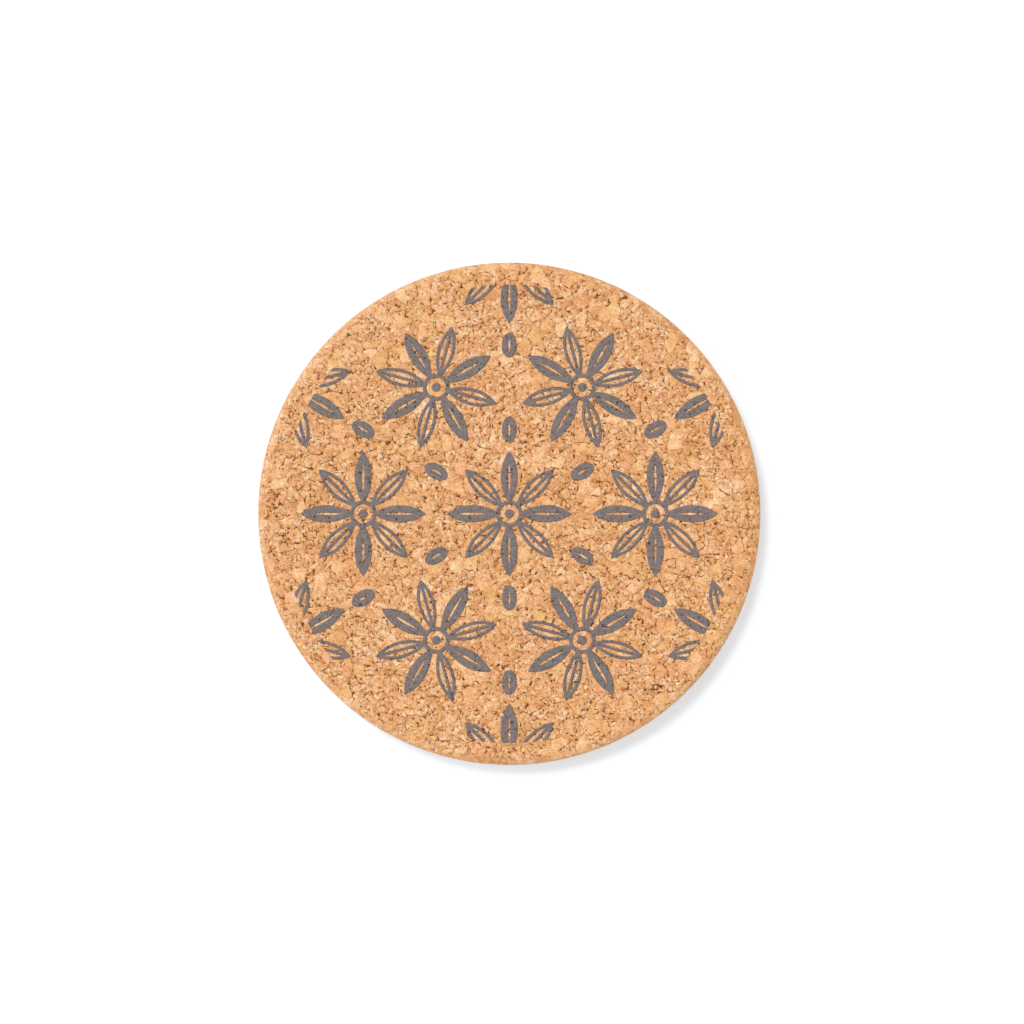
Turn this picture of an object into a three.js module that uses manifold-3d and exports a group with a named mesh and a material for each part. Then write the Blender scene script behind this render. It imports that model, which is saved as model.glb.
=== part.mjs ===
// Round cork coaster: a thick disc of agglomerated cork with rounded edges, and a one-colour screen print on
// its top face. The print is an all-over pattern of eight-petal flowers on a triangular grid, with seeds in the
// spaces between them, cut off by the round edge of the print. Each separate deposit of ink is a thin flat film
// that lies on the cork. Millimetres, +Z up, with the origin at the centre of the underside.
import * as THREE from "three";
import { mergeVertices } from "three/addons/utils/BufferGeometryUtils.js";
import Module from "manifold-3d";

// Cork disc
const DISC_DIAMETER = 100;
const DISC_THICKNESS = 10;
const TOP_EDGE_RADIUS = 2;
const BOTTOM_EDGE_RADIUS = 1;
const DISC_SIDES = 72;
const EDGE_STEPS = 2;

// Screen print: the film, and the bare cork left between the print and the side of the disc
const INK_THICKNESS = 0.1;
const PRINT_MARGIN = 4.5;
const PRINT_SIDES = 144;

// Flowers: the clear space between neighbours and from the outer ones to the edge of the print, and the ring
// at the middle of each with its eye
const FLOWER_GAP = 4;
const FLOWER_TO_EDGE = 4;
const PETAL_COUNT = 8;
const HUB_RADIUS = 2.7;
const HUB_LINE = 0.8;
const EYE_RADIUS = 0.9;

// Petals: solid ones with a bare vein, and open ones drawn as an outline with a rib
const PETAL_WIDTH = 3.4;
const PETAL_BASE_WIDTH = 1;
const PETAL_LINE = 0.65;
const PETAL_RIB = 0.55;
const VEIN_WIDTH = 0.45;
const VEIN_FROM_HUB = 1.6;
const VEIN_FROM_TIP = 2.4;

// How far along a petal the two handles of its side curve stand
const PETAL_SHOULDER = 0.32;
const PETAL_CHEEK = 0.72;

// Seeds, with a bare crease
const SEED_LENGTH = 5;
const SEED_WIDTH = 3;
const CREASE_LENGTH = 2.6;
const CREASE_WIDTH = 0.4;

// How many steps a petal's side, a vein's side and a round outline are drawn with
const PETAL_STEPS = 6;
const VEIN_STEPS = 4;
const ROUND_STEPS = 16;

const CORK = { color: 0xdaa476, roughness: 0.9, metalness: 0 };
const INK = { color: 0x7d7471, roughness: 0.75, metalness: 0 };

const DISC_RADIUS = DISC_DIAMETER / 2;
const PRINT_RADIUS = DISC_RADIUS - PRINT_MARGIN;
const PRINT_DEPTH = 4 * INK_THICKNESS;
const PETAL_TURN = (2 * Math.PI) / PETAL_COUNT;

// The triangular grid: one flower in the middle and six round it fill the print, so three flower radii and the
// two clear spaces make up its radius. The space between three flowers lies two thirds of a triangle's height
// from each, and the next flowers of the grid lie three times as far in the same directions.
const GRID_TURN = Math.PI / 3;
const NEIGHBOURS = Math.round((2 * Math.PI) / GRID_TURN);
const FLOWER_RADIUS = (PRINT_RADIUS - FLOWER_GAP - FLOWER_TO_EDGE) / 3;
const FLOWER_PITCH = 2 * FLOWER_RADIUS + FLOWER_GAP;
const SEED_PITCH = FLOWER_PITCH / Math.sqrt(3);
const FAR_PITCH = 3 * SEED_PITCH;

const wasm = await Module();
wasm.setup();

function toSolid(geometry) {
  const bare = geometry.clone();
  bare.deleteAttribute("normal");
  bare.deleteAttribute("uv");
  const merged = mergeVertices(bare);
  const vertProperties = new Float32Array(merged.attributes.position.array);
  const triVerts = new Uint32Array(merged.index.array);
  return new wasm.Manifold(new wasm.Mesh({ numProp: 3, vertProperties, triVerts }));
}

function toGeometry(solid) {
  const mesh = solid.getMesh();
  const geometry = new THREE.BufferGeometry();
  geometry.setAttribute("position", new THREE.BufferAttribute(mesh.vertProperties, 3));
  geometry.setIndex(new THREE.BufferAttribute(mesh.triVerts, 1));
  geometry.computeVertexNormals();
  return geometry;
}

// The disc's half section, turned about the axis
function corkDisc() {
  const section = new THREE.Path();
  const lowerCentre = DISC_RADIUS - BOTTOM_EDGE_RADIUS;
  const upperCentre = DISC_RADIUS - TOP_EDGE_RADIUS;
  section.moveTo(0, 0);
  section.lineTo(lowerCentre, 0);
  section.absarc(lowerCentre, BOTTOM_EDGE_RADIUS, BOTTOM_EDGE_RADIUS, -Math.PI / 2, 0, false);
  section.absarc(upperCentre, DISC_THICKNESS - TOP_EDGE_RADIUS, TOP_EDGE_RADIUS, 0, Math.PI / 2, false);
  section.lineTo(0, DISC_THICKNESS);
  const geometry = new THREE.LatheGeometry(section.getPoints(EDGE_STEPS), DISC_SIDES);
  geometry.rotateX(Math.PI / 2);
  const disc = new THREE.Mesh(geometry, new THREE.MeshStandardMaterial(CORK));
  disc.name = "cork_disc";
  return disc;
}

// One side of a petal that lies along +X, from its base on the hub to its tip
function petalSide() {
  const baseHalf = PETAL_BASE_WIDTH / 2;
  const baseX = Math.sqrt(HUB_RADIUS ** 2 - baseHalf ** 2);
  const length = FLOWER_RADIUS - baseX;
  // The middle of a cubic curve weighs each end and each handle by these shares
  const endShare = 1 / 8;
  const handleShare = 3 / 8;
  const handle = (PETAL_WIDTH / 2 - endShare * baseHalf) / (2 * handleShare);
  return new THREE.CubicBezierCurve(
    new THREE.Vector2(baseX, baseHalf),
    new THREE.Vector2(baseX + PETAL_SHOULDER * length, handle),
    new THREE.Vector2(baseX + PETAL_CHEEK * length, handle),
    new THREE.Vector2(FLOWER_RADIUS, 0),
  );
}

// The points on the other side of the X axis, in the opposite order
function mirrored(points) {
  return points.map((p) => new THREE.Vector2(p.x, -p.y)).reverse();
}

function turned(points, angle) {
  const origin = new THREE.Vector2();
  return points.map((p) => p.clone().rotateAround(origin, angle));
}

// A petal's edge from the base on one side round the tip to the base on the other
function petalEdge() {
  const fromTip = petalSide().getPoints(PETAL_STEPS).reverse();
  return [...mirrored(fromTip), ...fromTip.slice(1)];
}

// A bare slit between two points on the X axis, widest at its middle
function slit(fromX, toX, width) {
  const middle = new THREE.Vector2((fromX + toX) / 2, width);
  const from = new THREE.Vector2(fromX, 0);
  const to = new THREE.Vector2(toX, 0);
  const upper = new THREE.QuadraticBezierCurve(from, middle, to).getPoints(VEIN_STEPS);
  return [...upper, ...mirrored(upper).slice(1, -1)];
}

// The bare space between an open petal's rib and its outline, on one side of the rib
function openHalf() {
  const curve = petalSide();
  const ribEdge = PETAL_RIB / 2;
  const inner = curve.getPoints(PETAL_STEPS).map((point, step) => {
    const along = curve.getTangent(step / PETAL_STEPS);
    return new THREE.Vector2(point.x + PETAL_LINE * along.y, point.y - PETAL_LINE * along.x);
  });
  const half = [];
  inner.forEach((point, step) => {
    const before = inner[step - 1];
    if (before && before.y > ribEdge !== point.y > ribEdge) {
      half.push(before.clone().lerp(point, (ribEdge - before.y) / (point.y - before.y)));
    }
    if (point.y > ribEdge) {
      half.push(point);
    }
  });
  return half;
}

// What a petal leaves bare inside its edge
function petalHoles(isOpen) {
  if (isOpen) {
    const half = openHalf();
    return [half, mirrored(half)];
  }
  return [slit(HUB_RADIUS + VEIN_FROM_HUB, FLOWER_RADIUS - VEIN_FROM_TIP, VEIN_WIDTH)];
}

function circle(radius) {
  return new THREE.EllipseCurve(0, 0, radius, radius).getPoints(ROUND_STEPS).slice(0, -1);
}

function shapeWithHoles(outline, holes) {
  const shape = new THREE.Shape(outline);
  shape.holes = holes.map((hole) => new THREE.Path(hole));
  return shape;
}

// A whole flower: a ring at the middle with petals growing out of it, solid and open by turns
function flowerShape() {
  const outline = [];
  const holes = [circle(HUB_RADIUS - HUB_LINE)];
  for (let petal = 0; petal < PETAL_COUNT; petal += 1) {
    const angle = petal * PETAL_TURN;
    outline.push(...turned(petalEdge(), angle));
    outline.push(new THREE.Vector2(HUB_RADIUS, 0).rotateAround(new THREE.Vector2(), angle + PETAL_TURN / 2));
    holes.push(...petalHoles(petal % 2 === 1).map((hole) => turned(hole, angle)));
  }
  return shapeWithHoles(outline, holes);
}

function seedShape() {
  const outline = new THREE.EllipseCurve(0, 0, SEED_LENGTH / 2, SEED_WIDTH / 2);
  const crease = slit(-CREASE_LENGTH / 2, CREASE_LENGTH / 2, CREASE_WIDTH);
  return shapeWithHoles(outline.getPoints(ROUND_STEPS).slice(0, -1), [crease]);
}

const print = new THREE.Group();
print.position.z = DISC_THICKNESS;

// The round area that the screen prints, deep enough to hold the film
const printArea = new THREE.CylinderGeometry(PRINT_RADIUS, PRINT_RADIUS, PRINT_DEPTH, PRINT_SIDES);
printArea.rotateX(Math.PI / 2);

// A film of ink at a place on the disc, given by its distance and angle from the middle, cut off by the edge
// of the print. A motif that lies wholly outside the print leaves no ink.
function printFilm(name, shape, distance, angle, turn) {
  const geometry = new THREE.ExtrudeGeometry(shape, { depth: INK_THICKNESS, bevelEnabled: false });
  const film = new THREE.Mesh(geometry, new THREE.MeshStandardMaterial(INK));
  film.name = name;
  film.position.set(distance * Math.cos(angle), distance * Math.sin(angle), 0);
  film.rotation.z = turn;
  film.updateMatrix();
  const areaHere = printArea.clone().applyMatrix4(film.matrix.clone().invert());
  const printed = toSolid(geometry).intersect(toSolid(areaHere));
  if (!printed.isEmpty()) {
    film.geometry = toGeometry(printed);
    print.add(film);
  }
}

const flower = flowerShape();
const eye = new THREE.Shape(circle(EYE_RADIUS));
const seed = seedShape();

printFilm("ink_flower_centre", flower, 0, 0, 0);
printFilm("ink_eye_centre", eye, 0, 0, 0);

for (let k = 0; k < NEIGHBOURS; k += 1) {
  const onGrid = k * GRID_TURN;
  const between = onGrid + GRID_TURN / 2;
  printFilm(`ink_flower_${k + 1}`, flower, FLOWER_PITCH, onGrid, onGrid);
  printFilm(`ink_eye_${k + 1}`, eye, FLOWER_PITCH, onGrid, onGrid);
  printFilm(`ink_inner_seed_${k + 1}`, seed, SEED_PITCH, between, between);
  printFilm(`ink_outer_seed_${k + 1}`, seed, 2 * SEED_PITCH, between, between);

  // The next flowers of the grid lie past the print's edge, so only their inward petals show
  for (const side of [-1, 0, 1]) {
    const turn = between + Math.PI + side * PETAL_TURN;
    const petal = shapeWithHoles(petalEdge(), petalHoles(side !== 0));
    printFilm(`ink_border_petal_${k + 1}_${side + 2}`, petal, FAR_PITCH, between, turn);
  }
}

const coaster = new THREE.Group();
coaster.add(corkDisc(), print);

export default coaster;
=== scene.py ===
# Round cork coaster with a one-colour flower print, dressed for rendering. Lengths are in metres, +Z is up,
# and the origin is the centre of the underside.
import math

import bpy
import numpy as np
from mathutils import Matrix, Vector, noise
from mathutils.geometry import delaunay_2d_cdt


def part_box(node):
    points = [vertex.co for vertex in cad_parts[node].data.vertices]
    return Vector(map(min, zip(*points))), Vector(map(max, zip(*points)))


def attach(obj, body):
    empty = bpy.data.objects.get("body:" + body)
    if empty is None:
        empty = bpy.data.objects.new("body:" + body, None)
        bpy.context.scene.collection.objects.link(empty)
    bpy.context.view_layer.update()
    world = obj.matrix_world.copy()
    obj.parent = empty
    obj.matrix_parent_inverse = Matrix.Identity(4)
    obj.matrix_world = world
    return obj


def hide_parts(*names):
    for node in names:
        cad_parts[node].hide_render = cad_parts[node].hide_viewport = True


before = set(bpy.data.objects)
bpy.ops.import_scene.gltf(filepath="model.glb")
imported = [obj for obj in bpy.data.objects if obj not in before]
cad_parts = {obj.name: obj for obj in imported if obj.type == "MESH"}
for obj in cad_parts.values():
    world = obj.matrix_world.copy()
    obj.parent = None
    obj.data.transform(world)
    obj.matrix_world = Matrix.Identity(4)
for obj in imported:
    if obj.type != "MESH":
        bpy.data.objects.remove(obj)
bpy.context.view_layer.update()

# Cork disc
# The body is one disc of cork granules, pressed with a binder into a block, sliced, cut round and sanded. Its
# edges are rounded over. Pores and cracks stay open where granules don't quite meet.
mm = 0.001
disc_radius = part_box("cork_disc")[1].x
disc_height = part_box("cork_disc")[1].z
top_edge_round = 2 * mm
bottom_edge_round = 1 * mm
top_pitch = 0.22 * mm
side_pitch = 0.3 * mm
underside_pitch = 0.45 * mm
disc_triangles = 190_000
# Rows of even triangles lie this share of a side apart
row_share = math.sqrt(3) / 2

pore_depth = 0.25 * mm
granule_step = 0.02 * mm
relief_depth = 0.012 * mm
# The rim is worn: its gaps and relief are lessened by this share, in full within this distance of the side
rim_closing = 0.7
rim_worn_within = 0.4 * top_edge_round

# Granules of three sizes and softer patterns, by how many of each there are in a millimetre
chips_per_mm = 0.45
crumbs_per_mm = 1.25
fines_per_mm = 2.5
swirls_per_mm = 0.5
open_patches_per_mm = 1.3
fine_patches_per_mm = 2
slow_patches_per_mm = 0.12
speckles_per_mm = 3
cloud_roughness = 0.6
# Spreads out the sum of two granules' random numbers, so that its fraction is a random number for their seam
pair_shuffle = 3.7

# How far granules are bent out of shape, and the widths of gaps, seams and rounded shoulders, in millimetres
bend_mm = 1.5
least_gap_mm = 0.01
gap_growth_mm = 0.135
fine_gap_growth_mm = 0.08
seam_from_mm = 0.26
seam_full_mm = 0.03
shoulder_mm = 0.4
fine_shoulder_mm = 0.2

# The random numbers, from 0 to 1, at which a thing begins to show and at which it shows in full
whole_chips = (0.76, 0.8)
open_gaps = (0.58, 0.7)
deep_pores = (0.56, 0.66)
dark_seams_and_shade = (0.42, 0.62)

# Shares in which patterns are mixed. A gap's floor is the share of its width that lies at its full depth.
chip_in_crumb_tone = 0.15
crumb_in_chip_tone = 0.5
pair_in_openness = 0.3
gap_floor = 0.3
fine_gap_floor = 0.4
fine_gap_as_seam = 1.3
fine_gap_as_gap = 0.25

cork_tones = (
    (0.0, (0.555, 0.242, 0.086)),
    (0.3, (0.757, 0.357, 0.138)),
    (0.55, (0.868, 0.44, 0.182)),
    (0.8, (0.945, 0.545, 0.258)),
    (1.0, (0.975, 0.66, 0.415)),
)
tone_start = -0.29
tone_shares = {"tone": 0.7, "fine_tone": 0.23, "speckle": 0.44, "slow_tone": 0.48}
hue_start = 0.493
hue_share = 0.014
# Seams along granule edges are painted brown: partly dark joints between granules, partly painted shade
# beside the gaps
seam_and_shade_colour = (0.42, 0.12, 0.012)
seam_and_shade_cover = 0.5
# Gaps are painted near black: partly the cork's own dark inside, partly painted shade in pits and cracks,
# also where they are too fine for the relief
gap_and_shade_colour = (0.13, 0.03, 0.002)
gap_and_shade_cover = 0.92
cork_gloss = 0.2
roughness_start = 0.42
roughness_shares = {"speckle": 0.25, "gap": 0.3}
relief_shares = {"speckle": 0.8, "pick": 0.2, "shoulder": 0.5, "fine_shoulder": 0.3, "gap": -0.7}


def half_section():
    """Rings from the middle of the top, down the side and to the middle of the underside, each with its
    radius, height and pitch."""
    upper = disc_radius - top_edge_round
    lower = disc_radius - bottom_edge_round
    shoulder = disc_height - top_edge_round
    quarter = math.pi / 2

    def top(share):
        return upper * share, disc_height

    def top_round(share):
        turn = quarter * share
        return upper + top_edge_round * math.sin(turn), shoulder + top_edge_round * math.cos(turn)

    def side(share):
        return disc_radius, shoulder + (bottom_edge_round - shoulder) * share

    def bottom_round(share):
        turn = quarter * share
        return lower + bottom_edge_round * math.cos(turn), bottom_edge_round * (1 - math.sin(turn))

    def underside(share):
        return lower * (1 - share), 0

    stretches = (
        (top, upper, top_pitch),
        (top_round, quarter * top_edge_round, top_pitch),
        (side, shoulder - bottom_edge_round, side_pitch),
        (bottom_round, quarter * bottom_edge_round, side_pitch),
        (underside, lower, underside_pitch),
    )
    rings = []
    for place, length, pitch in stretches:
        steps = round(length / (pitch * row_share))
        rings += [(*place(step / steps), pitch) for step in range(steps)]
    return [*rings, (0, 0, underside_pitch)]


def zip_rings(inner_start, inner_count, outer_start, outer_count):
    """Triangles that join two rings of points, each given by the index of its first point and its count."""
    inner = np.arange(inner_count)
    outer = np.arange(outer_count)
    # Each side of the inner ring meets the point of the outer ring that is nearest to its middle
    met = np.floor((inner + 0.5) * outer_count / inner_count + 0.5).astype(int)
    behind = np.searchsorted(met, outer, side="right")
    triangles = []
    if inner_count > 1:
        ahead = inner_start + (inner + 1) % inner_count
        triangles.append(np.column_stack((inner_start + inner, outer_start + met % outer_count, ahead)))
    if outer_count > 1:
        ahead = outer_start + (outer + 1) % outer_count
        triangles.append(np.column_stack((outer_start + outer, ahead, inner_start + behind % inner_count)))
    return np.concatenate(triangles)


def new_piece(name, points, faces):
    """An object at the origin with a mesh of the given points and faces, linked to the scene."""
    mesh = bpy.data.meshes.new(name)
    mesh.from_pydata(points, [], faces)
    piece = bpy.data.objects.new(name, mesh)
    bpy.context.scene.collection.objects.link(piece)
    return piece


def disc_blank():
    """The sanded disc before its pores are opened."""
    points = []
    faces = []
    start = 0
    before = None
    for radius, height, pitch in half_section():
        count = max(1, round(2 * math.pi * radius / pitch))
        turn = 2 * math.pi * np.arange(count) / count
        points.append(np.column_stack((radius * np.cos(turn), radius * np.sin(turn), np.full(count, height))))
        if before:
            faces.append(zip_rings(*before, start, count))
        before = (start, count)
        start += count
    return new_piece("cork_body", np.concatenate(points).tolist(), np.concatenate(faces).tolist())


def feed(tree, socket, value):
    """Links a socket's value to an input, or sets a plain value on it."""
    if isinstance(value, bpy.types.NodeSocket):
        tree.links.new(value, socket)
    else:
        socket.default_value = value


def node(tree, kind, inputs, **settings):
    """A new node with its settings made and its inputs fed, by name or number."""
    made = tree.nodes.new(kind)
    for name, value in settings.items():
        setattr(made, name, value)
    for name, value in inputs.items():
        feed(tree, made.inputs[name], value)
    return made


def calc(tree, operation, *values):
    """One step of arithmetic on numbers."""
    return node(tree, "ShaderNodeMath", dict(enumerate(values)), operation=operation).outputs[0]


def weighed(tree, parts, shares, start=0):
    """A start value plus the given share of each named part."""
    total = start
    for name, share in shares.items():
        total = calc(tree, "MULTIPLY_ADD", parts[name], share, total)
    return total


def fade(tree, value, none, full):
    """How far a value has gone from none, which gives 0, to full, which gives 1, in a smooth step."""
    inputs = {"Value": value, "From Min": none, "From Max": full}
    return node(tree, "ShaderNodeMapRange", inputs, interpolation_type="SMOOTHSTEP").outputs[0]


def blend(tree, share, first, second):
    """A number between first, at a share of 0, and second, at 1."""
    # The mix node has several inputs of one name, so they go by number
    return node(tree, "ShaderNodeMix", {0: share, 2: first, 3: second}).outputs[0]


def vector_calc(tree, operation, inputs):
    """One step of arithmetic on places."""
    return node(tree, "ShaderNodeVectorMath", inputs, operation=operation).outputs


def cloud(tree, place, per_mm, detail):
    """Soft random variation with about this many bumps in a millimetre."""
    inputs = {"Vector": place, "Scale": per_mm, "Detail": detail, "Roughness": cloud_roughness}
    return node(tree, "ShaderNodeTexNoise", inputs).outputs


def granules(tree, place, per_mm):
    """Packed granules: three random numbers for each one, the distance in millimetres to the nearest seam
    between two of them, and a random number for that seam."""
    inputs = {"Vector": place, "Scale": per_mm}
    cell = node(tree, "ShaderNodeTexVoronoi", inputs, feature="F1").outputs["Color"]
    neighbour = node(tree, "ShaderNodeTexVoronoi", inputs, feature="F2").outputs["Color"]
    edge = node(tree, "ShaderNodeTexVoronoi", inputs, feature="DISTANCE_TO_EDGE").outputs["Distance"]
    picks = node(tree, "ShaderNodeSeparateXYZ", {0: cell}).outputs
    other_picks = node(tree, "ShaderNodeSeparateXYZ", {0: neighbour}).outputs
    pair = calc(tree, "MULTIPLY", calc(tree, "ADD", picks[2], other_picks[2]), pair_shuffle)
    return picks, calc(tree, "DIVIDE", edge, per_mm), calc(tree, "FRACT", pair)


def millimetres(tree, place):
    """A place in millimetres, which the patterns count their bumps and granules in."""
    return vector_calc(tree, "SCALE", {0: place, "Scale": 1 / mm})[0]


def cork_grain(tree, place):
    """The granules at a place on the sanded disc. Relief and colour share them, so that dark gaps are real
    pits."""
    in_mm = millimetres(tree, place)
    swirl = cloud(tree, in_mm, swirls_per_mm, detail=1.5)["Color"]
    bent = vector_calc(tree, "MULTIPLY_ADD", {0: swirl, 1: (bend_mm, bend_mm, bend_mm), 2: in_mm})[0]
    chips, chip_edge, chip_pair = granules(tree, bent, chips_per_mm)
    crumbs, crumb_edge, crumb_pair = granules(tree, bent, crumbs_per_mm)
    fines, fine_edge, _ = granules(tree, bent, fines_per_mm)

    # Some chips are whole, and the rest are broken up into crumbs
    whole = fade(tree, chips[0], *whole_chips)
    crumb_or_chip = calc(tree, "MINIMUM", chip_edge, crumb_edge)
    edge = blend(tree, whole, crumb_or_chip, chip_edge)
    by_chip = calc(tree, "MAXIMUM", whole, calc(tree, "LESS_THAN", chip_edge, crumb_edge))
    pair = blend(tree, by_chip, crumb_pair, chip_pair)
    crumb_tone = blend(tree, chip_in_crumb_tone, crumbs[0], chips[1])
    chip_tone = blend(tree, crumb_in_chip_tone, chips[1], crumbs[0])

    flat = vector_calc(tree, "MULTIPLY", {0: in_mm, 1: (1, 1, 0)})[0]
    radius = vector_calc(tree, "LENGTH", {0: flat})["Value"]
    rim = fade(tree, radius, (disc_radius - top_edge_round) / mm, (disc_radius - rim_worn_within) / mm)
    rough_share = calc(tree, "MULTIPLY_ADD", rim, -rim_closing, 1)

    open_patches = cloud(tree, in_mm, open_patches_per_mm, detail=1.5)[0]
    openness = blend(tree, pair_in_openness, open_patches, pair)
    open_share = calc(tree, "MULTIPLY", fade(tree, openness, *open_gaps), rough_share)
    gap_width = calc(tree, "MULTIPLY_ADD", open_share, gap_growth_mm, least_gap_mm)
    gap = fade(tree, edge, gap_width, calc(tree, "MULTIPLY", gap_width, gap_floor))
    fine_patches = cloud(tree, in_mm, fine_patches_per_mm, detail=1)[0]
    fine_share = calc(tree, "MULTIPLY", fade(tree, fine_patches, *open_gaps), rough_share)
    fine_width = calc(tree, "MULTIPLY_ADD", fine_share, fine_gap_growth_mm, least_gap_mm)
    fine_gap = fade(tree, fine_edge, fine_width, calc(tree, "MULTIPLY", fine_width, fine_gap_floor))
    seam_share = calc(tree, "MULTIPLY", fade(tree, openness, *dark_seams_and_shade), rough_share)
    seam = calc(tree, "MULTIPLY", fade(tree, edge, seam_from_mm, seam_full_mm), seam_share)
    return {
        "tone": blend(tree, whole, crumb_tone, chip_tone),
        "fine_tone": fines[0],
        "slow_tone": cloud(tree, in_mm, slow_patches_per_mm, detail=2)[0],
        "speckle": cloud(tree, in_mm, speckles_per_mm, detail=2)[0],
        "pick": blend(tree, whole, crumbs[1], chips[2]),
        "seam": calc(tree, "MAXIMUM", seam, calc(tree, "MULTIPLY", fine_gap, fine_gap_as_seam)),
        "gap": calc(tree, "MAXIMUM", gap, calc(tree, "MULTIPLY", fine_gap, fine_gap_as_gap)),
        "pore": calc(tree, "MULTIPLY", gap, fade(tree, openness, *deep_pores)),
        "shoulder": fade(tree, edge, 0, shoulder_mm),
        "fine_shoulder": fade(tree, fine_edge, 0, fine_shoulder_mm),
        "rough_share": rough_share,
    }


def new_finish(name):
    """An empty finish, with its tree, its shader and the sanded place that its patterns are laid on."""
    material = bpy.data.materials.new(name)
    material.use_nodes = True
    tree = material.node_tree
    place = node(tree, "ShaderNodeAttribute", {}, attribute_name="sanded_place").outputs["Vector"]
    return material, tree, tree.nodes["Principled BSDF"].inputs, place


def painted(tree, cover, under, over):
    """A colour, covered by another one to a share from 0 to 1."""
    return node(tree, "ShaderNodeMix", {0: cover, 6: under, 7: (*over, 1)}, data_type="RGBA").outputs[2]


def cork_material():
    """Sanded cork: granules from tan to cream, with brown gaps, darkened partly by painted shade."""
    material, tree, shader, place = new_finish("sanded_cork")
    grain = cork_grain(tree, place)

    ramp = node(tree, "ShaderNodeValToRGB", {0: weighed(tree, grain, tone_shares, tone_start)})
    elements = ramp.color_ramp.elements
    while len(elements) < len(cork_tones):
        elements.new(1)
    for element, (position, colour) in zip(elements, cork_tones):
        element.position = position
        element.color = (*colour, 1)
    hue = calc(tree, "MULTIPLY_ADD", grain["pick"], hue_share, hue_start)
    colour = node(tree, "ShaderNodeHueSaturation", {"Color": ramp.outputs[0], "Hue": hue}).outputs[0]
    # Seams and gaps are painted darker, partly in their own colour and partly as painted shade in and beside
    # the gaps
    for part, cover, dark in (("seam", seam_and_shade_cover, seam_and_shade_colour), ("gap", gap_and_shade_cover, gap_and_shade_colour)):
        colour = painted(tree, calc(tree, "MULTIPLY", grain[part], cover), colour, dark)
    feed(tree, shader["Base Color"], colour)

    feed(tree, shader["Roughness"], weighed(tree, grain, roughness_shares, roughness_start))
    shader["Specular IOR Level"].default_value = cork_gloss
    height = calc(tree, "MULTIPLY", weighed(tree, grain, relief_shares), grain["rough_share"])
    bump = node(tree, "ShaderNodeBump", {"Height": height, "Strength": 1, "Distance": relief_depth})
    feed(tree, shader["Normal"], bump.outputs[0])
    return material


def new_tree(name, inputs):
    """An empty geometry tree with a surface in, a surface out and further named inputs."""
    tree = bpy.data.node_groups.new(name, "GeometryNodeTree")
    tree.interface.new_socket("Surface", in_out="INPUT", socket_type="NodeSocketGeometry")
    for label, kind in inputs.items():
        tree.interface.new_socket(label, in_out="INPUT", socket_type=kind)
    tree.interface.new_socket("Surface", in_out="OUTPUT", socket_type="NodeSocketGeometry")
    return tree, tree.nodes.new("NodeGroupInput").outputs


def remember_place(tree, surface):
    """Keeps each point's place on the sanded disc, which the finish reads its pattern from."""
    place = tree.nodes.new("GeometryNodeInputPosition").outputs[0]
    inputs = {"Geometry": surface, "Name": "sanded_place", "Value": place}
    return node(tree, "GeometryNodeStoreNamedAttribute", inputs, data_type="FLOAT_VECTOR").outputs[0]


def finish_tree(tree, surface, finish):
    """Ends a geometry tree with real faces in the given finish."""
    real = node(tree, "GeometryNodeRealizeInstances", {"Geometry": surface}).outputs[0]
    dressed = node(tree, "GeometryNodeSetMaterial", {"Geometry": real, "Material": finish}).outputs[0]
    feed(tree, tree.nodes.new("NodeGroupOutput").inputs[0], dressed)


def open_pores_tree():
    """Sinks a sanded surface where gaps between its granules are open."""
    kinds = {
        "Pore depth": "NodeSocketFloat",
        "Granule step": "NodeSocketFloat",
        "Finish": "NodeSocketMaterial",
    }
    tree, given = new_tree("open_pores", kinds)
    grain = cork_grain(tree, tree.nodes.new("GeometryNodeInputPosition").outputs[0])
    drop = weighed(tree, grain, {"pore": given["Pore depth"], "pick": given["Granule step"]})
    normal = tree.nodes.new("GeometryNodeInputNormal").outputs[0]
    offset = vector_calc(tree, "SCALE", {0: normal, "Scale": calc(tree, "MULTIPLY", drop, -1)})[0]
    kept = remember_place(tree, given["Surface"])
    sunk = node(tree, "GeometryNodeSetPosition", {"Geometry": kept, "Offset": offset}).outputs[0]
    finish_tree(tree, sunk, given["Finish"])
    return tree


def grow(piece, tree, values):
    """Puts a geometry tree on a piece, with the tree's named inputs set."""
    modifier = piece.modifiers.new(tree.name, "NODES")
    modifier.node_group = tree
    for socket in tree.interface.items_tree:
        if socket.name in values:
            modifier[socket.identifier] = values[socket.name]


def make_plain(piece):
    """Turns a piece with its modifiers into a plain mesh with smooth faces."""
    evaluated = piece.evaluated_get(bpy.context.evaluated_depsgraph_get())
    mesh = bpy.data.meshes.new_from_object(evaluated)
    piece.modifiers.clear()
    piece.data = mesh
    mesh.shade_smooth()


def mesh_points(mesh):
    """Where a mesh's points are, one row for each."""
    points = np.empty(3 * len(mesh.vertices))
    mesh.vertices.foreach_get("co", points)
    return points.reshape(-1, 3)


def sand_true(mesh):
    """Takes off what the thinning left standing proud of the sanded disc."""
    points = mesh_points(mesh)
    # The least radius only keeps the middle point from a division by zero
    radius = np.maximum(np.hypot(points[:, 0], points[:, 1]), mm)
    points[:, :2] *= np.minimum(1, disc_radius / radius)[:, None]
    points[:, 2] = points[:, 2].clip(0, disc_height)
    mesh.vertices.foreach_set("co", points.ravel())
    mesh.update()


def corner_places(mesh):
    """The sanded place of each corner of each triangle."""
    places = np.empty(3 * len(mesh.vertices), dtype=np.float32)
    mesh.attributes["sanded_place"].data.foreach_get("vector", places)
    points = np.empty(len(mesh.loops), dtype=np.int32)
    mesh.loops.foreach_get("vertex_index", points)
    return places.reshape(-1, 3)[points].reshape(-1, 3, 3)


def lay_out(mesh, spots):
    """Gives a mesh its own flat layout for baked finishes."""
    layer = mesh.uv_layers.new(name="OFBake")
    layer.uv.foreach_set("vector", np.ascontiguousarray(spots, dtype=np.float32).ravel())


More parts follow.
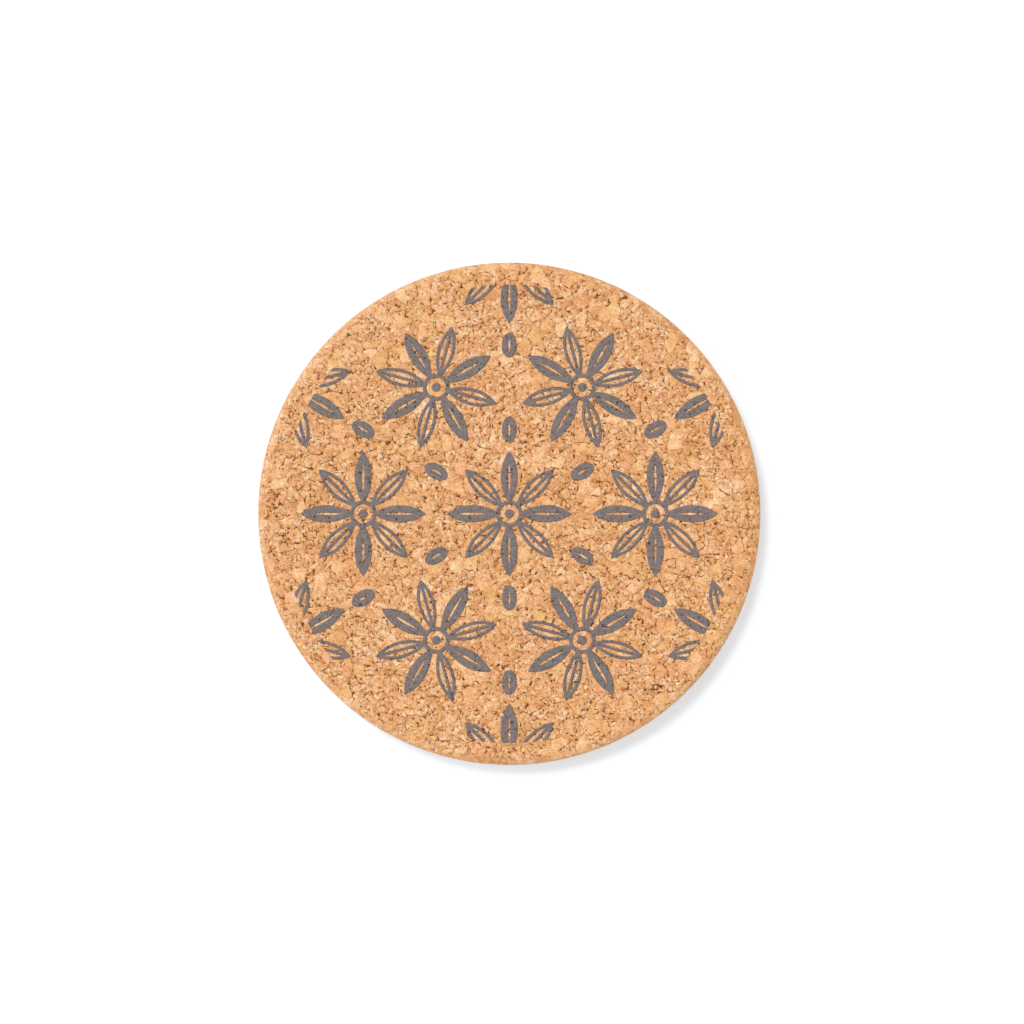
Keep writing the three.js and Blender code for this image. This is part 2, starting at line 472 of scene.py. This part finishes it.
def disc_layout(mesh):
    """Lays out the disc's skin on a square of side 1: its top as a large disc, its underside as a small one
    and its side in strips."""
    top_half = 0.36
    top_middle = (0.364, 0.636)
    under_half = 0.132
    under_middle = (0.864, 0.136)
    strips = 3
    strip_length = 0.71
    strip_width = 0.068
    strip_step = 0.085
    steps_to_first = 0.15
    corners = corner_places(mesh)
    middle = corners.mean(axis=1)
    # The strips reach halfway round each rounded edge, to where it slopes by 45 degrees
    halfway = 1 - math.cos(math.pi / 4)
    low = bottom_edge_round * halfway
    high = disc_height - top_edge_round * halfway

    top = corners[..., :2] / disc_radius * top_half + top_middle
    under = corners[..., :2] / disc_radius * under_half * (1, -1) + under_middle
    sector = 2 * math.pi / strips
    strip = np.floor(np.arctan2(middle[:, 1], middle[:, 0]) % (2 * math.pi) / sector)[:, None]
    round_way = np.arctan2(corners[..., 1], corners[..., 0]) - (strip + 0.5) * sector
    round_way = (round_way + math.pi) % (2 * math.pi) - math.pi
    along = top_middle[0] + round_way / sector * strip_length
    up = strip_step * (strip + steps_to_first) + (corners[..., 2] - low) / (high - low) * strip_width
    side = np.stack((along, up), axis=-1)
    level = middle[:, 2, None, None]
    lay_out(mesh, np.where(level > high, top, np.where(level < low, under, side)))


disc = disc_blank()
pore_values = {"Pore depth": pore_depth, "Granule step": granule_step, "Finish": cork_material()}
grow(disc, open_pores_tree(), pore_values)
thinning = disc.modifiers.new("thinning", "DECIMATE")
thinning.ratio = disc_triangles / len(disc.data.polygons)
make_plain(disc)
sand_true(disc.data)
disc_layout(disc.data)
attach(disc, "root")
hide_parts("cork_disc")

# Screen print
# The print is one warm grey ink, pushed through a screen onto the sanded cork in a single pass. Each motif is
# a film a tenth of a millimetre thick, which follows the cork, bridges small pores and has uneven edges.
print_margin = 4.5 * mm
print_radius = disc_radius - print_margin
ink_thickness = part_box("ink_eye_centre")[1].z - disc_height
film_height = 0.035 * mm
film_ground = disc_height - granule_step
film_pitch = 0.3 * mm
# Ink is dropped from this height above the disc, and lands if there is cork within this reach
drop_height = 1 * mm
drop_reach = 5 * mm
edge_waver = 0.06 * mm
edge_waver_length = 0.7 * mm
edge_waver_seed = 7

petal_count = 8
hub_radius = 2.7 * mm
hub_line = 0.8 * mm
eye_radius = 0.9 * mm
petal_width = 3.4 * mm
petal_base_width = 1 * mm
petal_line = 0.65 * mm
petal_rib = 0.55 * mm
petal_shoulder = 0.32
petal_cheek = 0.72
vein_width = 0.45 * mm
vein_from_hub = 1.6 * mm
vein_from_tip = 2.4 * mm
seed_length = 5 * mm
seed_width = 3 * mm
crease_length = 2.6 * mm
crease_width = 0.4 * mm

# How many points a curve and a round outline are drawn with, and the fewest that are left on a printed edge
curve_points = 60
round_points = 120
fewest_edge_points = 8

# Flowers stand on a triangular grid, with seeds in the middle of its triangles. The petals at the border
# belong to the next flowers out.
flower_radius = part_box("ink_flower_centre")[1].x
flower_pitch = sum(corner.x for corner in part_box("ink_flower_1")) / 2
seed_pitch = flower_pitch / math.sqrt(3)
far_pitch = 3 * seed_pitch
grid_turn = math.pi / 3
neighbours = round(2 * math.pi / grid_turn)
petal_turn = 2 * math.pi / petal_count

ink_colour = (0.198, 0.158, 0.142)
ink_gloss = 0.3
ink_roughness_start = 0.55
ink_roughness_share = 0.2
ink_relief_depth = 0.1 * mm
ink_relief_strength = 0.2
mottle_start = -0.05
mottle_speckle_share = 1.3
mottle_blot_share = 0.8
blots_per_mm = 1.1

# Pinholes are random spots, pulled out of round. Only the highest of their random numbers open one far enough
# to be seen. Gaps in the cork show as pinholes too, where the speckle is low.
# The pinholes' near-black colour is partly holes in the ink and partly painted shade in them
pinhole_and_shade_colour = (0.05, 0.037, 0.032)
pinholes_per_mm = 1.1
strays_per_mm = 1.7
stray_mm = 0.9
open_pinholes = (0.74, 1)
least_pinhole_mm = 0.01
pinhole_growth_mm = 0.34
pinhole_floor = 0.4
sunk_gaps = (0.6, 0.4)


def curve(*handles):
    """Points along a Bezier curve through its first and last handle."""
    share = np.linspace(0, 1, curve_points)[:, None]
    degree = len(handles) - 1
    return sum(
        math.comb(degree, k) * share**k * (1 - share) ** (degree - k) * np.array(handle)
        for k, handle in enumerate(handles)
    )


def mirrored(points):
    """The same points across the X axis, in the opposite order."""
    return points[::-1] * (1, -1)


def turned(points, angle):
    """Points turned about the origin."""
    cosine, sine = math.cos(angle), math.sin(angle)
    return points @ np.array(((cosine, sine), (-sine, cosine)))


def round_outline(length, width):
    """An ellipse about the origin, its length along X."""
    turn = np.linspace(0, 2 * math.pi, round_points, endpoint=False)
    return np.column_stack((length / 2 * np.cos(turn), width / 2 * np.sin(turn)))


def slit(start, end, width):
    """A bare slit along the X axis, widest at its middle."""
    upper = curve((start, 0), ((start + end) / 2, width), (end, 0))
    return np.concatenate((upper, mirrored(upper)[1:-1]))


def petal_side():
    """One side of a petal that lies along +X, from its base on the hub to its tip."""
    base_half = petal_base_width / 2
    base = math.sqrt(hub_radius**2 - base_half**2)
    length = flower_radius - base
    # The middle of a cubic curve weighs each end and each handle by these shares
    end_share = 1 / 8
    handle_share = 3 / 8
    handle = (petal_width / 2 - end_share * base_half) / (2 * handle_share)
    shoulder = base + petal_shoulder * length
    cheek = base + petal_cheek * length
    return curve((base, base_half), (shoulder, handle), (cheek, handle), (flower_radius, 0))


def petal_edge():
    """A petal's edge, from its base round the tip and back to the base."""
    side = petal_side()
    return np.concatenate((mirrored(side[::-1]), side[-2::-1]))


def petal_holes(is_open):
    """What a petal leaves bare: a vein in a solid one, both halves beside the rib in an open one."""
    if not is_open:
        return [slit(hub_radius + vein_from_hub, flower_radius - vein_from_tip, vein_width)]
    side = petal_side()
    along = np.gradient(side, axis=0)
    along /= np.linalg.norm(along, axis=1)[:, None]
    inner = side + petal_line * np.column_stack((along[:, 1], -along[:, 0]))
    half = inner[inner[:, 1] > petal_rib / 2]
    return [half, mirrored(half)]


def flower():
    """A ring with petals growing out of it, solid and open by turns."""
    outline = []
    holes = [round_outline(2 * (hub_radius - hub_line), 2 * (hub_radius - hub_line))]
    for petal in range(petal_count):
        angle = petal * petal_turn
        outline.append(turned(petal_edge(), angle))
        outline.append(turned(np.array([(hub_radius, 0)]), angle + petal_turn / 2))
        holes += [turned(hole, angle) for hole in petal_holes(petal % 2 == 1)]
    return [np.concatenate(outline), *holes]


def border_petal(is_open):
    """One petal of a flower whose middle lies past the edge of the print."""
    return [petal_edge(), *petal_holes(is_open)]


def seed():
    """A seed with a bare crease."""
    return [round_outline(seed_length, seed_width), slit(-crease_length / 2, crease_length / 2, crease_width)]


def printed_edge(contour):
    """A closed contour in even steps, wavering a little as ink does on an uneven ground."""
    closed = np.concatenate((contour, contour[:1]))
    run = np.concatenate(([0], np.cumsum(np.linalg.norm(np.diff(closed, axis=0), axis=1))))
    count = max(fewest_edge_points, round(run[-1] / film_pitch))
    stops = np.linspace(0, run[-1], count, endpoint=False)
    even = np.column_stack([np.interp(stops, run, closed[:, axis]) for axis in (0, 1)])
    waver = [noise.noise_vector(Vector((x, y, 0)) / edge_waver_length)[:2] for x, y in even]
    return even + edge_waver * np.array(waver)


def inked(points, contours):
    """Which points have ink on them: those inside an odd number of contours and within the print's edge."""
    odd = np.zeros(len(points), dtype=bool)
    x, y = points[:, :1], points[:, 1:]
    for contour in contours:
        (x1, y1), (x2, y2) = contour.T, np.roll(contour, -1, axis=0).T
        passes = (y1 > y) != (y2 > y)
        meets = x1 + (x2 - x1) * (y - y1) / np.where(y1 == y2, 1, y2 - y1)
        odd ^= (passes & (x < meets)).sum(axis=1) % 2 == 1
    return odd & (np.hypot(points[:, 0], points[:, 1]) < print_radius)


def inner_points(contours):
    """A triangular grid of points inside the ink, kept off its edges."""
    low, high = contours[0].min(axis=0), contours[0].max(axis=0)
    columns = np.arange(low[0], high[0], film_pitch)
    rows = np.arange(low[1], high[1], film_pitch * row_share)
    x, y = np.meshgrid(columns, rows)
    x[1::2] += film_pitch / 2
    grid = np.column_stack((x.ravel(), y.ravel()))
    grid = grid[inked(grid, contours)]
    edge = np.concatenate(contours)
    nearest = np.array([np.hypot(*(edge - point).T).min() for point in grid])
    return grid[nearest > film_pitch / 2]


def print_edge(contours):
    """The stretch of the print's round edge that crosses a motif, if any does."""
    outline = contours[0]
    if np.hypot(*outline.T).max() < print_radius:
        return np.empty((0, 2))
    middle = math.atan2(*outline.mean(axis=0)[::-1])
    reach = np.ptp(outline, axis=0).max() / print_radius
    turn = np.arange(middle - reach, middle + reach, film_pitch / print_radius)
    return print_radius * np.column_stack((np.cos(turn), np.sin(turn)))


def sheet_of_ink(name, motif, distance, angle, turn):
    """A flat sheet in the shape of a motif at its place on the disc, in even triangles."""
    centre = distance * np.array((math.cos(angle), math.sin(angle)))
    contours = [printed_edge(turned(contour, turn) + centre) for contour in motif]
    points = []
    edges = []
    for contour in contours:
        first = len(points)
        points += contour.tolist()
        edges += [(first + k, first + (k + 1) % len(contour)) for k in range(len(contour))]
    arc = print_edge(contours)
    edges += [(len(points) + k, len(points) + k + 1) for k in range(len(arc) - 1)]
    points += arc.tolist() + inner_points(contours).tolist()
    # The triangulation works in millimetres, where its tolerance is far smaller than the film's triangles
    fill_hull = 0
    tolerance_mm = 1e-5
    flat = [Vector(point) / mm for point in points]
    corners, _, faces, *_ = delaunay_2d_cdt(flat, edges, [], fill_hull, tolerance_mm)
    corners = np.array(corners) * mm
    faces = np.array(faces)
    faces = faces[inked(corners[faces].mean(axis=1), contours)]
    used, faces = np.unique(faces, return_inverse=True)
    corners = np.column_stack((corners[used], np.full(len(used), disc_height)))
    return new_piece(name, corners.tolist(), faces.reshape(-1, 3).tolist())


def laid_ink_tree():
    """Lays a flat sheet of ink down on the cork, where it follows the granules and bridges small pores."""
    kinds = {
        "Cork": "NodeSocketObject",
        "Lowest ground": "NodeSocketFloat",
        "Film height": "NodeSocketFloat",
        "Finish": "NodeSocketMaterial",
    }
    tree, given = new_tree("laid_ink", kinds)
    place = tree.nodes.new("GeometryNodeInputPosition").outputs[0]
    cork = node(tree, "GeometryNodeObjectInfo", {"Object": given["Cork"]}).outputs["Geometry"]
    drop = {
        "Target Geometry": cork,
        "Source Position": vector_calc(tree, "ADD", {0: place, 1: (0, 0, drop_height)})[0],
        "Ray Direction": (0, 0, -1),
        "Ray Length": drop_reach,
    }
    landed = node(tree, "GeometryNodeRaycast", drop).outputs["Hit Position"]
    x, y, ground = node(tree, "ShaderNodeSeparateXYZ", {0: landed}).outputs
    bridged = calc(tree, "MAXIMUM", ground, given["Lowest ground"])
    top = calc(tree, "ADD", bridged, given["Film height"])
    laid = node(tree, "ShaderNodeCombineXYZ", {0: x, 1: y, 2: top}).outputs[0]
    kept = remember_place(tree, given["Surface"])
    film = node(tree, "GeometryNodeSetPosition", {"Geometry": kept, "Position": laid}).outputs[0]
    finish_tree(tree, film, given["Finish"])
    return tree


def ink_material():
    """Matt grey ink, mottled, with small dark pinholes, darkened partly by painted shade."""
    material, tree, shader, place = new_finish("grey_ink")
    grain = cork_grain(tree, place)
    in_mm = millimetres(tree, place)
    mottle = calc(tree, "MULTIPLY_ADD", grain["speckle"], mottle_speckle_share, mottle_start)
    blots = cloud(tree, in_mm, blots_per_mm, detail=1)[0]
    mottle = calc(tree, "MULTIPLY_ADD", blots, mottle_blot_share, mottle)
    mottled = node(tree, "ShaderNodeHueSaturation", {"Color": (*ink_colour, 1), "Value": mottle}).outputs[0]

    stray = cloud(tree, in_mm, strays_per_mm, detail=1)["Color"]
    strayed = vector_calc(tree, "MULTIPLY_ADD", {0: stray, 1: (stray_mm, stray_mm, 0), 2: in_mm})[0]
    inputs = {"Vector": strayed, "Scale": pinholes_per_mm}
    spots = node(tree, "ShaderNodeTexVoronoi", inputs, feature="F1", voronoi_dimensions="2D").outputs
    pick = node(tree, "ShaderNodeSeparateXYZ", {0: spots["Color"]}).outputs[0]
    size = fade(tree, pick, *open_pinholes)
    reach = calc(tree, "MULTIPLY_ADD", size, pinhole_growth_mm, least_pinhole_mm)
    away = calc(tree, "DIVIDE", spots["Distance"], pinholes_per_mm)
    pinhole = fade(tree, away, reach, calc(tree, "MULTIPLY", reach, pinhole_floor))
    sunk = calc(tree, "MULTIPLY", grain["gap"], fade(tree, grain["speckle"], *sunk_gaps))
    hole = calc(tree, "MAXIMUM", pinhole, sunk)
    feed(tree, shader["Base Color"], painted(tree, hole, mottled, pinhole_and_shade_colour))

    roughness = calc(tree, "MULTIPLY_ADD", grain["speckle"], ink_roughness_share, ink_roughness_start)
    feed(tree, shader["Roughness"], roughness)
    shader["Specular IOR Level"].default_value = ink_gloss
    inputs = {"Height": grain["speckle"], "Strength": ink_relief_strength, "Distance": ink_relief_depth}
    feed(tree, shader["Normal"], node(tree, "ShaderNodeBump", inputs).outputs[0])
    return material


def film_layout(mesh):
    """Lays out a film's skin on a square of side 1: its top large, its underside small, and its thin edge
    just outside its top."""
    margin = 0.02
    top_size = 0.68
    under_size = 0.26
    edge_width = 0.004
    count = len(mesh.vertices) // 2
    plan = mesh_points(mesh)[:count, :2]
    plan = (plan - plan.min(axis=0)) / np.ptp(plan, axis=0).max()
    spots = []
    for face in mesh.polygons:
        corners = np.array(face.vertices)
        lower = corners >= count
        flat = plan[corners % count]
        if lower.all():
            spots.append(1 - margin - under_size * flat)
            continue
        out = np.array(face.normal[:2])
        out *= edge_width / max(np.linalg.norm(out), edge_width)
        spots.append(margin + top_size * flat + lower[:, None] * out)
    lay_out(mesh, np.concatenate(spots))


noise.seed_set(edge_waver_seed)
laid_ink = laid_ink_tree()
grey_ink = ink_material()


def print_film(motif_name, motif, distance, angle, turn):
    """Prints one motif at a distance and angle from the middle: a film with a real thickness on the cork."""
    film = sheet_of_ink(f"film_{motif_name}", motif, distance, angle, turn)
    values = {"Cork": disc, "Lowest ground": film_ground, "Film height": film_height, "Finish": grey_ink}
    grow(film, laid_ink, values)
    wall = film.modifiers.new("film", "SOLIDIFY")
    wall.thickness = ink_thickness
    # All of the thickness goes below the laid surface
    wall.offset = -1
    make_plain(film)
    film_layout(film.data)
    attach(film, "root")
    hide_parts(f"ink_{motif_name}")


eye = [round_outline(2 * eye_radius, 2 * eye_radius)]
print_film("flower_centre", flower(), 0, 0, 0)
print_film("eye_centre", eye, 0, 0, 0)
for k in range(neighbours):
    on_grid = k * grid_turn
    between = on_grid + grid_turn / 2
    print_film(f"flower_{k + 1}", flower(), flower_pitch, on_grid, on_grid)
    print_film(f"eye_{k + 1}", eye, flower_pitch, on_grid, on_grid)
    print_film(f"inner_seed_{k + 1}", seed(), seed_pitch, between, between)
    print_film(f"outer_seed_{k + 1}", seed(), 2 * seed_pitch, between, between)
    for side in (-1, 0, 1):
        turn = between + math.pi + side * petal_turn
        print_film(f"border_petal_{k + 1}_{side + 2}", border_petal(side != 0), far_pitch, between, turn)

# Floor, light and camera
# The coaster lies on white paper in a white room. A soft, slightly warm lamp high on the upper left throws
# its shadow, a wide cool one low on the left lights its rim, and the camera looks straight down on it.
floor_half = 2.0
# The paper as it is seen, a little bright and cool, and the plain white that it throws back on the coaster
paper_glow = 0.335
paper_seen = (0.69, 0.79, 0.86)
paper_plain = (0.8, 0.8, 0.8)
room_light = 0.66
image_size = 1024
disc_centre_px = (509.3, 513.8)
disc_radius_px = 251.2
camera_height = 0.8
sensor_width = 36

floor = new_piece(
    "floor",
    [(x * floor_half, y * floor_half, 0) for x, y in ((-1, -1), (1, -1), (1, 1), (-1, 1))],
    [(0, 1, 2, 3)],
)


def seen_directly(tree):
    """1 for what the camera sees straight on, in a reflection or through glass, and 0 for what lights the
    coaster."""
    path = tree.nodes.new("ShaderNodeLightPath").outputs
    seen = calc(tree, "MAXIMUM", path["Is Camera Ray"], path["Is Glossy Ray"])
    return calc(tree, "MAXIMUM", seen, path["Is Transmission Ray"])


paper = bpy.data.materials.new("white_paper")
paper.use_nodes = True
tree = paper.node_tree
tree.nodes.clear()
glow = node(tree, "ShaderNodeEmission", {"Color": (1, 1, 1, 1), "Strength": paper_glow}).outputs[0]
shown = node(tree, "ShaderNodeBsdfDiffuse", {"Color": (*paper_seen, 1)}).outputs[0]
shown = node(tree, "ShaderNodeAddShader", {0: shown, 1: glow}).outputs[0]
plain = node(tree, "ShaderNodeBsdfDiffuse", {"Color": (*paper_plain, 1)}).outputs[0]
paper_surface = node(tree, "ShaderNodeMixShader", {0: seen_directly(tree), 1: plain, 2: shown}).outputs[0]
feed(tree, tree.nodes.new("ShaderNodeOutputMaterial").inputs["Surface"], paper_surface)
floor.data.materials.append(paper)

world = bpy.data.worlds.new("white_room")
world.use_nodes = True
tree = world.node_tree
background = tree.nodes["Background"].inputs
background["Color"].default_value = (1, 1, 1, 1)
feed(tree, background["Strength"], blend(tree, seen_directly(tree), room_light, 1))
bpy.context.scene.world = world


def hang_lamp(name, energy, colour, spread, shines):
    """A far lamp that looks as wide as its spread, in degrees, and shines the given way."""
    lamp = bpy.data.objects.new(name, bpy.data.lights.new(name, "SUN"))
    lamp.data.energy = energy
    lamp.data.color = colour
    lamp.data.angle = math.radians(spread)
    lamp.rotation_euler = Vector(shines).to_track_quat("-Z", "Y").to_euler()
    bpy.context.scene.collection.objects.link(lamp)


hang_lamp("lamp_above", energy=1.064, colour=(1.05, 1, 0.956), spread=12, shines=(0.219, -0.28, -0.935))
hang_lamp("lamp_left", energy=1.0, colour=(0.7, 1, 1.5), spread=50, shines=(0.92, -0.19, -0.342))

# The disc's outline, as the camera sees it, is the ring where its rounded top edge meets its side
widest_height = disc_height - top_edge_round
scale_px = disc_radius_px / disc_radius
camera = bpy.data.objects.new("camera", bpy.data.cameras.new("camera"))
camera.data.sensor_width = sensor_width
camera.data.lens = sensor_width * scale_px * (camera_height - widest_height) / image_size
camera.location = (
    (image_size / 2 - disc_centre_px[0]) / scale_px,
    (disc_centre_px[1] - image_size / 2) / scale_px,
    camera_height,
)
bpy.context.scene.collection.objects.link(camera)
bpy.context.scene.camera = camera

bpy.context.scene.view_settings.view_transform = "Standard"
